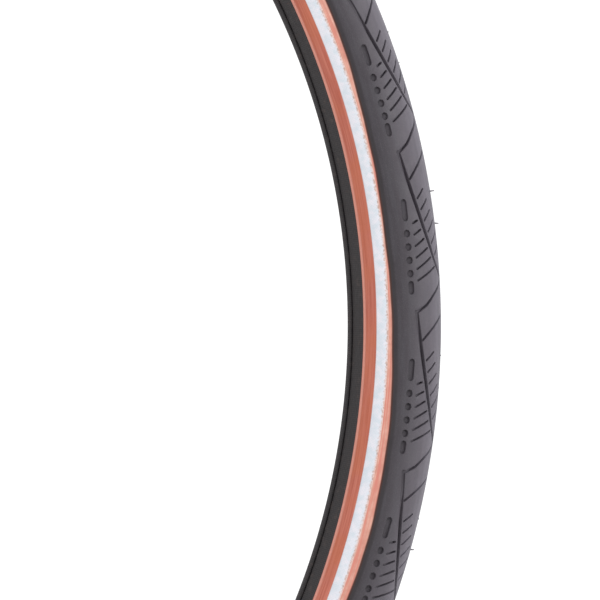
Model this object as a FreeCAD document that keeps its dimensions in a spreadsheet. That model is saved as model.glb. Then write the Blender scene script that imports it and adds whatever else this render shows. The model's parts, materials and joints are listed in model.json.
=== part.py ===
"""A 40-622 city bicycle tire with its inner tube and Schrader valve.

Frame: millimetres, the wheel's centre is the origin, the wheel turns about +Y
and +Z is up. The valve stands at the bottom of the ring and points to the
centre. Every ring is a section drawn across the wheel, at its distance from
the Y axis, and turned about that axis.
"""

import FreeCAD, Part
import math
import os
import Sketcher

DRIVING_DIMENSIONS = {
    # the ring
    "bead_seat_radius": 311.0,
    "section_radius": 19.9,
    # how far the section's circle, were it whole, would reach below the bead seat
    "section_sink": 0.8,
    "rim_inner_width": 20.0,
    # the layers, outside in
    "skin_thickness": 0.6,
    "stripe_thickness": 0.25,
    "tread_crown_thickness": 2.9,
    "belt_thickness": 0.8,
    "casing_thickness": 1.2,
    # where each band starts, in degrees round the section from its widest point
    "chafer_top_angle": 39.5,
    "stripe_inner_angle": 21.3,
    "stripe_outer_angle": 6.3,
    "tread_edge_angle": 1.2,
    "belt_half_angle": 40.0,
    # the bead
    "bead_width": 4.2,
    "bead_height": 3.5,
    "heel_chamfer": 0.4,
    "bead_shoulder_angle": 50.0,
    "bead_wire_radius": 0.475,
    "bead_wire_gap": 0.05,
    "bead_wire_height": 2.0,
    # the tread grooves: a slot across each pitch of each shoulder, whose pattern
    # starts at pattern_start_angle above +X as seen from the left
    "pattern_start_angle": 0.97,
    "groove_centre_angle": 4.1,
    "groove_width": 1.8,
    "groove_length": 38.0,
    "groove_depth": 1.6,
    "groove_angle": 49.0,
    "groove_lean": 17.0,
    # the moulding hairs
    "spew_radius": 0.35,
    "spew_length": 2.0,
    "spew_angle": 82.0,
    "spew_left_angle": 3.0,
    "spew_right_angle": 5.2,
    # the inner tube
    "tube_wall": 0.9,
    "tube_clearance": 0.15,
    "tube_floor_height": 1.9,
    "tube_toe_clearance": 0.3,
    "tube_shoulder_angle": 48.0,
    # the valve
    "patch_thickness": 1.2,
    "patch_width": 10.8,
    "patch_angle": 4.6,
    "patch_corner": 3.5,
    "stem_radius": 3.85,
    "stem_length": 48.0,
    "stem_chamfer": 0.4,
    "shank_step": 0.25,
    "shank_end_gap": 1.5,
    "stem_flange_radius": 4.5,
    "stem_flange_thickness": 1.0,
    "air_passage_radius": 1.5,
    "core_chamber_depth": 22.0,
    "core_thread_radius": 2.65,
    "core_thread_depth": 7.0,
    "core_chamber_radius": 2.1,
    "core_taper_length": 1.0,
    # the valve core
    "core_clearance": 0.05,
    "core_recess": 0.6,
    "core_head_length": 4.4,
    "core_neck_radius": 1.6,
    "core_barrel_radius": 1.8,
    "core_barrel_length": 8.0,
    "core_cavity_radius": 1.1,
    "core_floor_thickness": 1.0,
    "core_slot_width": 1.2,
    "core_slot_depth": 1.6,
    "pin_radius": 0.45,
    "pin_head_radius": 0.75,
    "pin_head_length": 1.2,
    "pin_recess": 0.3,
    "pin_hole_clearance": 0.1,
    "pin_collar_radius": 0.95,
    "pin_collar_thickness": 0.7,
    "pin_collar_depth": 3.6,
    "plunger_radius": 1.5,
    "plunger_height": 1.6,
    "plunger_seal_thickness": 0.6,
    "spring_wire_radius": 0.12,
    "spring_coils": 6.0,
    # the rim nut and the dust cap
    "rim_depth": 30.2,
    "rim_flange_height": 6.0,
    "thread_clearance": 0.05,
    "nut_wall": 2.1,
    "nut_height": 4.0,
    "nut_chamfer": 0.4,
    "cap_wall": 1.0,
    "cap_length": 12.0,
    "cap_top_thickness": 1.2,
    "cap_top_gap": 0.3,
    "cap_chamfer": 0.8,
    "flute_radius": 0.35,
}

TREAD_PITCHES = 32
NUT_FLUTES = 24
CAP_FLUTES = 16

doc = FreeCAD.newDocument("bicycle_tire")
sheet = doc.addObject("Spreadsheet::Sheet", "Dimensions")
for row, (alias, number) in enumerate(DRIVING_DIMENSIONS.items(), start=1):
    sheet.set(f"A{row}", alias.replace("_", " "))
    sheet.set(f"B{row}", str(number))
    sheet.setAlias(f"B{row}", alias)
doc.recompute()


class Term:
    """A size: its number now, and the sheet expression that keeps it current."""

    def __init__(self, value, text):
        self.value = float(value)
        self.text = text

    def __add__(self, other):
        other = term(other)
        return Term(self.value + other.value, f"({self.text} + {other.text})")

    def __sub__(self, other):
        other = term(other)
        return Term(self.value - other.value, f"({self.text} - {other.text})")

    def __mul__(self, other):
        other = term(other)
        return Term(self.value * other.value, f"({self.text} * {other.text})")

    def __truediv__(self, other):
        other = term(other)
        return Term(self.value / other.value, f"({self.text} / {other.text})")

    def __neg__(self):
        return Term(-self.value, f"(0 - {self.text})")


def term(number):
    return number if isinstance(number, Term) else Term(number, str(float(number)))


def size(alias):
    return Term(float(getattr(sheet, alias)), f"Dimensions.{alias}")


def cosine(angle):
    return Term(math.cos(math.radians(angle.value)), f"cos({angle.text} * 1 deg)")


def sine(angle):
    return Term(math.sin(math.radians(angle.value)), f"sin({angle.text} * 1 deg)")


def root(square):
    return Term(math.sqrt(square.value), f"sqrt({square.text})")


# ---------------------------------------------------------------- drawing helpers


def make_body(label):
    body = doc.addObject("PartDesign::Body", label)
    body.Label = label
    return body


def make_sketch(body, name, plane_role, offset=None):
    """A sketch on one of the body's origin planes, lifted off it by offset."""
    sketch = body.newObject("Sketcher::SketchObject", f"{body.Name}_{name}")
    plane = next(f for f in body.Origin.OriginFeatures if f.Role == plane_role)
    sketch.AttachmentSupport = [(plane, "")]
    sketch.MapMode = "FlatFace"
    if offset is not None:
        sketch.AttachmentOffset = FreeCAD.Placement(
            FreeCAD.Vector(0, 0, offset.value), FreeCAD.Rotation()
        )
        sketch.setExpression("AttachmentOffset.Base.z", offset.text)
    return sketch


def bind(sketch, constraint, amount):
    """Add a constraint and tie its size to the sheet."""
    index = sketch.addConstraint(constraint)
    sketch.setExpression(f"Constraints[{index}]", amount.text)


def pin_point(sketch, geometry, point, at):
    """Fix a point by its distances from the sketch's origin."""
    for kind, amount in zip(("DistanceX", "DistanceY"), at):
        bind(
            sketch,
            Sketcher.Constraint(kind, -1, 1, geometry, point, amount.value),
            amount,
        )


def vector(at):
    return FreeCAD.Vector(at[0].value, at[1].value, 0)


def arc_between(start, end, centre, bulge):
    """The arc from start to end that bulges as asked, always drawn anticlockwise.

    Returns the arc, and which of its ends are start and end.
    """
    radius = (vector(start) - vector(centre)).Length
    towards = vector(bulge) - vector(centre)
    towards.normalize()
    middle = vector(centre) + towards * radius
    turn = (middle - vector(start)).cross(vector(end) - middle).z
    if turn > 0:
        return Part.Arc(vector(start), middle, vector(end)), (1, 2)
    return Part.Arc(vector(end), middle, vector(start)), (2, 1)


def draw_outline(sketch, corners):
    """Draw a closed outline.

    Each corner is (x, y), and then how the outline leaves it: None for a line,
    or (centre, axis, bulge) for an arc, whose centre is fixed along one axis
    and follows from the two ends along the other.
    """
    first = None
    previous = None
    for number, (at, leave) in enumerate(corners):
        end = corners[(number + 1) % len(corners)][0]
        if leave is None:
            index = sketch.addGeometry(Part.LineSegment(vector(at), vector(end)))
            ends = (1, 2)
        else:
            centre, axis, bulge = leave
            arc, ends = arc_between(at, end, centre, bulge)
            index = sketch.addGeometry(arc)
            kind = "DistanceX" if axis == "x" else "DistanceY"
            amount = centre[0] if axis == "x" else centre[1]
            bind(
                sketch,
                Sketcher.Constraint(kind, -1, 1, index, 3, amount.value),
                amount,
            )
        pin_point(sketch, index, ends[0], at)
        if previous is not None:
            sketch.addConstraint(
                Sketcher.Constraint(
                    "Coincident", previous[0], previous[1], index, ends[0]
                )
            )
        if first is None:
            first = (index, ends[0])
        previous = (index, ends[1])
    sketch.addConstraint(
        Sketcher.Constraint("Coincident", previous[0], previous[1], *first)
    )


def draw_circle(sketch, centre, radius):
    index = sketch.addGeometry(
        Part.Circle(vector(centre), FreeCAD.Vector(0, 0, 1), radius.value)
    )
    pin_point(sketch, index, 3, centre)
    bind(sketch, Sketcher.Constraint("Radius", index, radius.value), radius)


def revolve(body, sketch, axis, angle=None):
    """Turn a section about one of its sketch's axes, all the way or by angle."""
    turned = body.newObject("PartDesign::Revolution", f"{body.Name}_turned")
    turned.Profile = sketch
    turned.ReferenceAxis = (sketch, [axis])
    turned.Angle = 360.0 if angle is None else angle.value
    if angle is not None:
        turned.Midplane = True
        turned.setExpression("Angle", angle.text)
    body.Tip = turned
    doc.recompute()
    return turned


def cut_pocket(body, sketch, depth, name="cut"):
    """Sink a sketch into the body, whichever way finds more material."""
    before = body.Shape.Volume
    pocket = body.newObject("PartDesign::Pocket", f"{body.Name}_{name}")
    pocket.Profile = sketch
    pocket.Length = depth.value
    pocket.setExpression("Length", depth.text)
    body.Tip = pocket
    removed = []
    for way in (False, True):
        pocket.Reversed = way
        doc.recompute()
        removed.append(before - body.Shape.Volume)
    if removed[0] > removed[1]:
        pocket.Reversed = False
        doc.recompute()
    if max(removed) < 1e-6:
        raise RuntimeError(f"{body.Label}: {name} removes nothing")
    return pocket


def repeat_about(body, feature, sketch, axis, count):
    """Repeat a feature evenly round one of its sketch's axes."""
    pattern = body.newObject("PartDesign::PolarPattern", f"{feature.Name}_round")
    pattern.Originals = [feature]
    pattern.Axis = (sketch, [axis])
    pattern.Angle = 360.0
    pattern.Occurrences = count
    body.Tip = pattern
    doc.recompute()
    return pattern


# ---------------------------------------------------------------- the tire's section

ZERO = term(0)
SEAT = size("bead_seat_radius")
SKIN_RADIUS = size("section_radius")
SECTION_CENTRE = SEAT + SKIN_RADIUS - size("section_sink")
OUTER = SECTION_CENTRE + SKIN_RADIUS
PLY_RADIUS = SKIN_RADIUS - size("skin_thickness")
LINER_RADIUS = PLY_RADIUS - size("casing_thickness")
STRIPE_FLOOR_RADIUS = SKIN_RADIUS - size("stripe_thickness")
HEEL = size("rim_inner_width") / 2
TOE = HEEL - size("bead_width")
BEAD_TOP = SEAT + size("bead_height")
CENTRE = (ZERO, SECTION_CENTRE)


def on_section(radius, angle, side=1):
    """The point at an angle above the section's widest point."""
    return (radius * cosine(angle) * side, SECTION_CENTRE + radius * sine(angle))


def arc_about_section(bulge_angle, side=1):
    """An arc about the section's own centre, passing bulge_angle."""
    return (CENTRE, "x", on_section(SKIN_RADIUS, bulge_angle, side))


def wall_point(radius, across, side=1):
    """The point of a section circle, below its centre, that is across from Y = 0."""
    drop = root(radius * radius - across * across)
    return (across * side, SECTION_CENTRE - drop)


# Above its widest point the casing is a flatter arc, which leaves the crown to
# the belt and the tread. Its centre lies under the crown.
TREAD_EDGE = size("tread_edge_angle")
PLY_CROWN = OUTER - size("tread_crown_thickness") - size("belt_thickness")
EDGE_ACROSS, EDGE_HEIGHT = on_section(PLY_RADIUS, TREAD_EDGE)
CROWN_RISE = PLY_CROWN - EDGE_HEIGHT
CROWN_DROP = (EDGE_ACROSS * EDGE_ACROSS - CROWN_RISE * CROWN_RISE) / (CROWN_RISE * 2)
CROWN_CENTRE = (ZERO, EDGE_HEIGHT - CROWN_DROP)
CROWN_RADIUS = CROWN_RISE + CROWN_DROP


def crown_point(radius, angle, side=1):
    """The point at an angle down from the crown, about the casing's upper arc."""
    return (radius * sine(angle) * side, CROWN_CENTRE[1] + radius * cosine(angle))


def crown_arc(over_the_top=True, side=1, angle=None):
    """An arc about the casing's upper centre."""
    if over_the_top:
        return (CROWN_CENTRE, "y", (ZERO, PLY_CROWN))
    return (CROWN_CENTRE, "x", crown_point(CROWN_RADIUS, angle, side))


def make_ring(label, corners, more_outlines=()):
    """A body that turns an outline about the wheel's axis."""
    body = make_body(label)
    sketch = make_sketch(body, "section", "YZ_Plane")
    draw_outline(sketch, corners)
    for outline in more_outlines:
        draw_outline(sketch, outline)
    revolve(body, sketch, "H_Axis")
    return body


def make_casing():
    """Rubbered plies, bead to bead, folded round both bead bundles."""
    skin = size("skin_thickness")
    lump_heel = HEEL - skin
    lump_toe = TOE + skin
    lump_floor = SEAT + skin
    shoulder = -size("bead_shoulder_angle")
    halfway = (shoulder + TREAD_EDGE) / 2
    heel_top = wall_point(PLY_RADIUS, lump_heel)
    corners = []
    for side in (1, -1):
        going_up = [
            ((lump_heel * side, lump_floor), None),
            ((heel_top[0] * side, heel_top[1]), arc_about_section(halfway, side)),
        ]
        if side == 1:
            corners += going_up
            corners.append((on_section(PLY_RADIUS, TREAD_EDGE), crown_arc()))
        else:
            corners.append(
                (
                    on_section(PLY_RADIUS, TREAD_EDGE, -1),
                    arc_about_section(halfway, -1),
                )
            )
            corners.append(((-heel_top[0], heel_top[1]), None))
            corners.append(((-lump_heel, lump_floor), None))
    corners.append(((-lump_toe, lump_floor), None))
    corners.append(((-lump_toe, BEAD_TOP), None))
    corners.append((on_section(LINER_RADIUS, shoulder, -1), arc_about_section(halfway, -1)))
    corners.append((on_section(LINER_RADIUS, TREAD_EDGE, -1), crown_arc()))
    corners.append((on_section(LINER_RADIUS, TREAD_EDGE), arc_about_section(halfway)))
    corners.append((on_section(LINER_RADIUS, shoulder), None))
    corners.append(((lump_toe, BEAD_TOP), None))
    corners.append(((lump_toe, lump_floor), None))
    body = make_ring("casing", corners)

    # each bundle lies in a channel of its own
    channel = body.newObject("Sketcher::SketchObject", "casing_channels")
    plane = next(f for f in body.Origin.OriginFeatures if f.Role == "YZ_Plane")
    channel.AttachmentSupport = [(plane, "")]
    channel.MapMode = "FlatFace"
    for side in (1, -1):
        for across, height in bundle_places():
            draw_circle(channel, (across * side, height), size("bead_wire_radius"))
    groove = body.newObject("PartDesign::Groove", "casing_wire_channels")
    groove.Profile = channel
    groove.ReferenceAxis = (channel, ["H_Axis"])
    groove.Angle = 360.0
    body.Tip = groove
    doc.recompute()
    return body


def bundle_places():
    """The four turns of one bead bundle, on the right side of the tire."""
    step = size("bead_wire_radius") + size("bead_wire_gap") / 2
    middle = (HEEL + TOE) / 2
    height = SEAT + size("bead_wire_height")
    return [
        (middle - step, height - step),
        (middle + step, height - step),
        (middle + step, height + step),
        (middle - step, height + step),
    ]


def make_bead_bundle(name, side):
    """One bead: four turns of steel wire, each its own closed ring."""
    body = make_body(f"bead_wires_{name}")
    body.AllowCompound = True
    sketch = make_sketch(body, "section", "YZ_Plane")
    for across, height in bundle_places():
        draw_circle(sketch, (across * side, height), size("bead_wire_radius"))
    revolve(body, sketch, "H_Axis")
    return body


def make_chafer(name, side):
    """The strip that wraps the bead's toe, seat and heel against the rim."""
    skin = size("skin_thickness")
    chamfer = size("heel_chamfer")
    top = -size("chafer_top_angle")
    outer_heel = wall_point(SKIN_RADIUS, HEEL, side)
    inner_heel = wall_point(PLY_RADIUS, HEEL - skin, side)
    halfway = (top - size("bead_shoulder_angle")) / 2
    corners = [
        ((TOE * side, BEAD_TOP), None),
        ((TOE * side, SEAT + chamfer), None),
        (((TOE + chamfer) * side, SEAT), None),
        (((HEEL - chamfer) * side, SEAT), None),
        ((HEEL * side, SEAT + chamfer), None),
        (outer_heel, arc_about_section(halfway, side)),
        (on_section(SKIN_RADIUS, top, side), None),
        (on_section(PLY_RADIUS, top, side), arc_about_section(halfway, side)),
        (inner_heel, None),
        (((HEEL - skin) * side, SEAT + skin), None),
        (((TOE + skin) * side, SEAT + skin), None),
        (((TOE + skin) * side, BEAD_TOP), None),
    ]
    return make_ring(f"chafer_{name}", corners)


def make_sidewall(name, side):
    """The coloured rubber of one side, with a bed for its stripe."""
    low = -size("chafer_top_angle")
    bed_low = -size("stripe_inner_angle")
    bed_high = -size("stripe_outer_angle")
    corners = [
        (on_section(SKIN_RADIUS, low, side), arc_about_section((low + bed_low) / 2, side)),
        (on_section(SKIN_RADIUS, bed_low, side), None),
        (
            on_section(STRIPE_FLOOR_RADIUS, bed_low, side),
            arc_about_section((bed_low + bed_high) / 2, side),
        ),
        (on_section(STRIPE_FLOOR_RADIUS, bed_high, side), None),
        (
            on_section(SKIN_RADIUS, bed_high, side),
            arc_about_section((bed_high + TREAD_EDGE) / 2, side),
        ),
        (on_section(SKIN_RADIUS, TREAD_EDGE, side), None),
        (
            on_section(PLY_RADIUS, TREAD_EDGE, side),
            arc_about_section((low + TREAD_EDGE) / 2, side),
        ),
        (on_section(PLY_RADIUS, low, side), None),
    ]
    return make_ring(f"sidewall_{name}", corners)


def make_stripe(name, side):
    """The reflective band that lies flush in the sidewall's bed."""
    low = -size("stripe_inner_angle")
    high = -size("stripe_outer_angle")
    halfway = (low + high) / 2
    corners = [
        (on_section(SKIN_RADIUS, low, side), arc_about_section(halfway, side)),
        (on_section(SKIN_RADIUS, high, side), None),
        (on_section(STRIPE_FLOOR_RADIUS, high, side), arc_about_section(halfway, side)),
        (on_section(STRIPE_FLOOR_RADIUS, low, side), None),
    ]
    return make_ring(f"reflective_stripe_{name}", corners)


def make_belt():
    """The woven puncture belt between the plies and the tread."""
    edge = size("belt_half_angle")
    over = CROWN_RADIUS + size("belt_thickness")
    corners = [
        (crown_point(over, edge), crown_arc()),
        (crown_point(over, edge, -1), None),
        (crown_point(CROWN_RADIUS, edge, -1), crown_arc()),
        (crown_point(CROWN_RADIUS, edge), None),
    ]
    return make_ring("puncture_belt", corners)


def make_tread():
    """The black tread, thin at its edges and thick over the belt."""
    edge = size("belt_half_angle")
    over = CROWN_RADIUS + size("belt_thickness")
    flank = (edge + 90) / 2
    corners = [
        (on_section(SKIN_RADIUS, TREAD_EDGE), (CENTRE, "y", (ZERO, OUTER))),
        (on_section(SKIN_RADIUS, TREAD_EDGE, -1), None),
        (on_section(PLY_RADIUS, TREAD_EDGE, -1), crown_arc(False, -1, flank)),
        (crown_point(CROWN_RADIUS, edge, -1), None),
        (crown_point(over, edge, -1), crown_arc()),
        (crown_point(over, edge), None),
        (crown_point(CROWN_RADIUS, edge), crown_arc(False, 1, flank)),
        (on_section(PLY_RADIUS, TREAD_EDGE), None),
    ]
    body = make_ring("tread", corners)
    for name, side in (("left", -1), ("right", 1)):
        cut_shoulder_grooves(body, name, side)
    turn = term(90) - size("pattern_start_angle") + size("groove_centre_angle")
    body.Placement = FreeCAD.Placement(
        FreeCAD.Vector(0, 0, 0), FreeCAD.Rotation(FreeCAD.Vector(0, 1, 0), turn.value)
    )
    body.setExpression("Placement.Rotation.Angle", turn.text)
    return body


def cut_shoulder_grooves(body, name, side):
    """One slot for each pitch, sunk square to the shoulder and leaning along it."""
    lift = size("groove_depth")
    tilt = (term(90) - size("groove_angle")) * -side
    base = on_section(SKIN_RADIUS + lift, size("groove_angle"), side)
    sketch = make_sketch(body, f"groove_{name}", "XY_Plane")
    sketch.AttachmentOffset = FreeCAD.Placement(
        FreeCAD.Vector(0, base[0].value, base[1].value),
        FreeCAD.Rotation(FreeCAD.Vector(1, 0, 0), tilt.value),
    )
    sketch.setExpression("AttachmentOffset.Base.y", base[0].text)
    sketch.setExpression("AttachmentOffset.Base.z", base[1].text)
    sketch.setExpression("AttachmentOffset.Rotation.Angle", tilt.text)
    lean = size("groove_lean") * -side
    half_length = size("groove_length") / 2
    half_width = size("groove_width") / 2
    corners = []
    for along, across in ((1, 1), (-1, 1), (-1, -1), (1, -1)):
        reach = half_length * along
        aside = half_width * across
        x = reach * cosine(lean) - aside * sine(lean)
        y = reach * sine(lean) + aside * cosine(lean)
        corners.append(((x, y), None))
    draw_outline(sketch, corners)
    slot = cut_pocket(body, sketch, lift + size("groove_depth"), f"groove_{name}")
    pattern = body.newObject("PartDesign::PolarPattern", f"tread_grooves_{name}")
    pattern.Originals = [slot]
    wheel_axis = next(f for f in body.Origin.OriginFeatures if f.Role == "Y_Axis")
    pattern.Axis = (wheel_axis, [""])
    pattern.Angle = 360.0
    pattern.Occurrences = TREAD_PITCHES
    body.Tip = pattern
    doc.recompute()


def make_tube():
    """The inflated butyl tube, flat where it would lie on the rim bed."""
    fit = size("tube_clearance")
    wall = size("tube_wall")
    shoulder = -size("tube_shoulder_angle")
    halfway = (shoulder + TREAD_EDGE) / 2
    knee = BEAD_TOP + fit * 3
    outlines = []
    for inward in (ZERO, wall):
        radius = LINER_RADIUS - fit - inward
        across = TOE - size("tube_toe_clearance") - inward
        floor = SEAT + size("tube_floor_height") + inward
        turn = knee + inward * 0.8
        outlines.append(
            [
                ((across, floor), None),
                ((across, turn), None),
                (on_section(radius, shoulder), arc_about_section(halfway)),
                (on_section(radius, TREAD_EDGE), crown_arc()),
                (on_section(radius, TREAD_EDGE, -1), arc_about_section(halfway, -1)),
                (on_section(radius, shoulder, -1), None),
                ((-across, turn), None),
                ((-across, floor), None),
            ]
        )
    body = make_ring("inner_tube", outlines[0], outlines[1:])
    start = TUBE_FLOOR_INSIDE + size("tube_wall")
    hole = make_sketch(body, "valve_hole", "XY_Plane", -start)
    draw_circle(hole, (ZERO, ZERO), size("stem_radius"))
    cut_pocket(body, hole, size("tube_wall") * 3, "valve_hole")
    return body


# ---------------------------------------------------------------- the valve

TUBE_FLOOR = SEAT + size("tube_floor_height")
TUBE_FLOOR_INSIDE = TUBE_FLOOR + size("tube_wall")
STEM_TIP = SEAT - size("stem_length")
NUT_SEAT = SEAT + size("rim_flange_height") - size("rim_depth")


def turned_on_stem(label, profile):
    """A piece turned about the stem, from (radius, distance from the wheel axis)."""
    body = make_body(label)
    sketch = make_sketch(body, "section", "XZ_Plane")
    draw_outline(sketch, [((across, -away), None) for across, away in profile])
    revolve(body, sketch, "V_Axis")
    return body


def make_patch():
    """The reinforcing pad that bonds the stem to the tube."""
    body = make_body("valve_patch")
    sketch = make_sketch(body, "section", "YZ_Plane")
    half = size("patch_width") / 2
    high = -(TUBE_FLOOR - size("patch_thickness"))
    low = -TUBE_FLOOR
    draw_outline(
        sketch,
        [
            ((half, high), None),
            ((half, low), None),
            ((-half, low), None),
            ((-half, high), None),
        ],
    )
    turned = revolve(body, sketch, "H_Axis", size("patch_angle"))
    corners = [
        f"Edge{number}"
        for number, edge in enumerate(turned.Shape.Edges, start=1)
        if edge.BoundBox.YLength < 1e-6
        and abs(edge.Length - size("patch_thickness").value) < 1e-3
    ]
    rounded = body.newObject("PartDesign::Fillet", "valve_patch_corners")
    rounded.Base = (turned, corners)
    rounded.Radius = size("patch_corner").value
    rounded.setExpression("Radius", size("patch_corner").text)
    body.Tip = rounded
    doc.recompute()
    hole = make_sketch(body, "valve_hole", "XY_Plane", -(TUBE_FLOOR + size("patch_thickness")))
    draw_circle(hole, (ZERO, ZERO), size("stem_radius"))
    cut_pocket(body, hole, size("patch_thickness") * 3, "valve_hole")
    return body


def make_stem():
    """The brass stem: flange in the tube, shank through the rim, bored for its core."""
    shank_radius = size("stem_radius") + size("shank_step")
    thread_end = STEM_TIP + size("core_thread_depth")
    taper_end = thread_end + size("core_taper_length")
    chamber_end = STEM_TIP + size("core_chamber_depth")
    foot = TUBE_FLOOR_INSIDE + size("stem_flange_thickness")
    return turned_on_stem(
        "valve_stem",
        [
            (size("core_thread_radius"), STEM_TIP),
            (size("stem_radius") - size("stem_chamfer"), STEM_TIP),
            (size("stem_radius"), STEM_TIP + size("stem_chamfer")),
            (size("stem_radius"), NUT_SEAT + size("shank_end_gap")),
            (shank_radius, NUT_SEAT + size("shank_end_gap")),
            (shank_radius, SEAT),
            (size("stem_radius"), SEAT),
            (size("stem_radius"), TUBE_FLOOR_INSIDE),
            (size("stem_flange_radius"), TUBE_FLOOR_INSIDE),
            (size("stem_flange_radius"), foot),
            (size("air_passage_radius"), foot),
            (size("air_passage_radius"), chamber_end),
            (size("core_chamber_radius"), chamber_end),
            (size("core_chamber_radius"), taper_end),
            (size("core_thread_radius"), thread_end),
        ],
    )


CORE_TOP = STEM_TIP + size("core_recess")
CORE_NECK = CORE_TOP + size("core_head_length")
SEAL_END = STEM_TIP + size("core_thread_depth")
CORE_FOOT = SEAL_END + size("core_barrel_length")
CORE_FLOOR = CORE_FOOT - size("core_floor_thickness")
PIN_TOP = STEM_TIP + size("pin_recess")
COLLAR_TOP = STEM_TIP + size("pin_collar_depth")
COLLAR_FOOT = COLLAR_TOP + size("pin_collar_thickness")


def make_core_body():
    """The valve core's brass barrel, slotted on top for its key."""
    head = size("core_thread_radius") - size("core_clearance")
    pin_hole = size("pin_radius") + size("pin_hole_clearance")
    body = turned_on_stem(
        "core_barrel",
        [
            (size("core_cavity_radius"), CORE_TOP),
            (head, CORE_TOP),
            (head, CORE_NECK),
            (size("core_neck_radius"), CORE_NECK),
            (size("core_neck_radius"), SEAL_END),
            (size("core_barrel_radius"), SEAL_END),
            (size("core_barrel_radius"), CORE_FOOT),
            (pin_hole, CORE_FOOT),
            (pin_hole, CORE_FLOOR),
            (size("core_cavity_radius"), CORE_FLOOR),
        ],
    )
    slot = make_sketch(body, "key_slot", "XY_Plane", -CORE_TOP)
    across = size("core_thread_radius") * 1.2
    half = size("core_slot_width") / 2
    draw_outline(
        slot,
        [
            ((across, half), None),
            ((-across, half), None),
            ((-across, -half), None),
            ((across, -half), None),
        ],
    )
    cut_pocket(body, slot, size("core_slot_depth"), "key_slot")
    return body


def make_core_seal():
    """The ring that seals the core against the stem's bore."""
    return turned_on_stem(
        "core_seat_seal",
        [
            (size("core_neck_radius"), CORE_NECK),
            (size("core_thread_radius"), CORE_NECK),
            (size("core_thread_radius"), SEAL_END),
            (size("core_neck_radius"), SEAL_END),
        ],
    )


def make_pin():
    """The spring-loaded pin, from its head down to the plunger cup."""
    seal_foot = CORE_FOOT + size("plunger_seal_thickness")
    foot = seal_foot + size("plunger_height")
    head_foot = PIN_TOP + size("pin_head_length")
    return turned_on_stem(
        "core_pin",
        [
            (ZERO, PIN_TOP),
            (size("pin_head_radius"), PIN_TOP),
            (size("pin_head_radius"), head_foot),
            (size("pin_radius"), head_foot),
            (size("pin_radius"), COLLAR_TOP),
            (size("pin_collar_radius"), COLLAR_TOP),
            (size("pin_collar_radius"), COLLAR_FOOT),
            (size("pin_radius"), COLLAR_FOOT),
            (size("pin_radius"), seal_foot),
            (size("plunger_radius"), seal_foot),
            (size("plunger_radius"), foot),
            (ZERO, foot),
        ],
    )


def make_plunger_seal():
    """The rubber ring that the pin draws up against the barrel's foot."""
    seal_foot = CORE_FOOT + size("plunger_seal_thickness")
    return turned_on_stem(
        "core_plunger_seal",
        [
            (size("pin_radius"), CORE_FOOT),
            (size("plunger_radius"), CORE_FOOT),
            (size("plunger_radius"), seal_foot),
            (size("pin_radius"), seal_foot),
        ],
    )


def make_spring():
    """The coil between the barrel's floor and the pin's collar."""
    wire = size("spring_wire_radius")
    mean = (size("pin_radius") + size("core_cavity_radius")) / 2
    spring_length = CORE_FLOOR - COLLAR_FOOT - wire * 2
    body = make_body("core_spring")
    sketch = make_sketch(body, "section", "XZ_Plane")
    draw_circle(sketch, (mean, -(CORE_FLOOR - wire)), wire)
    helix = body.newObject("PartDesign::AdditiveHelix", "core_spring_coils")
    helix.Profile = sketch
    helix.ReferenceAxis = (sketch, ["V_Axis"])
    helix.Mode = "height-turns-angle"
    helix.Height = spring_length.value
    helix.setExpression("Height", spring_length.text)
    helix.Turns = size("spring_coils").value
    helix.setExpression("Turns", size("spring_coils").text)
    helix.Angle = 0
    body.Tip = helix
    doc.recompute()
    return body


def cut_flutes(body, radius, top, length, count):
    """Grip flutes down the outside of a round piece."""
    sketch = make_sketch(body, "flute", "XY_Plane", -top)
    draw_circle(sketch, (radius, ZERO), size("flute_radius"))
    flute = cut_pocket(body, sketch, length, "flute")
    repeat_about(body, flute, sketch, "N_Axis", count)


def make_rim_nut():
    """The fluted ring nut that holds the stem to the rim's inner face."""
    bore = size("stem_radius") + size("thread_clearance")
    chamfer = size("nut_chamfer")
    outer = bore + size("nut_wall")
    top = NUT_SEAT - size("nut_height")
    body = turned_on_stem(
        "rim_nut",
        [
            (bore, NUT_SEAT),
            (bore, top),
            (outer - chamfer, top),
            (outer, top + chamfer),
            (outer, NUT_SEAT - chamfer),
            (outer - chamfer, NUT_SEAT),
        ],
    )
    cut_flutes(body, outer, top, size("nut_height"), NUT_FLUTES)
    return body


def make_dust_cap():
    """The moulded cap that screws over the stem's tip."""
    bore = size("stem_radius") + size("thread_clearance")
    chamfer = size("cap_chamfer")
    outer = bore + size("cap_wall")
    inside = STEM_TIP - size("cap_top_gap")
    top = inside - size("cap_top_thickness")
    foot = top + size("cap_length")
    body = turned_on_stem(
        "dust_cap",
        [
            (ZERO, top),
            (outer - chamfer, top),
            (outer, top + chamfer),
            (outer, foot),
            (bore, foot),
            (bore, inside),
            (ZERO, inside),
        ],
    )
    cut_flutes(body, outer, top, size("cap_length") - chamfer * 2, CAP_FLUTES)
    return body


# ---------------------------------------------------------------- the moulding hairs


def make_spews():
    """Thin rubber hairs left by the mould's vents, two on the crown of each pitch."""
    radius = size("spew_radius").value
    length = size("spew_length").value
    hairs = []
    for number in range(TREAD_PITCHES):
        start = 360.0 * number / TREAD_PITCHES
        for side, places in ((-1, "spew_left_angle"), (1, "spew_right_angle")):
            across, height = on_section(SKIN_RADIUS, size("spew_angle"), side)
            base = FreeCAD.Vector(0, across.value, height.value)
            out = base - FreeCAD.Vector(0, 0, SECTION_CENTRE.value)
            out.normalize()
            hair = Part.makeCylinder(radius, length, base, out)
            hair.rotate(
                FreeCAD.Vector(0, 0, 0),
                FreeCAD.Vector(0, 1, 0),
                90.0 - size("pattern_start_angle").value + start + size(places).value,
            )
            hairs.append(hair)
    group = doc.addObject("Part::Feature", "vent_spews")
    group.Label = "vent_spews"
    group.Shape = Part.makeCompound(hairs)
    group.Placement = FreeCAD.Placement()
    return group


# ---------------------------------------------------------------- the assembly

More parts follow.
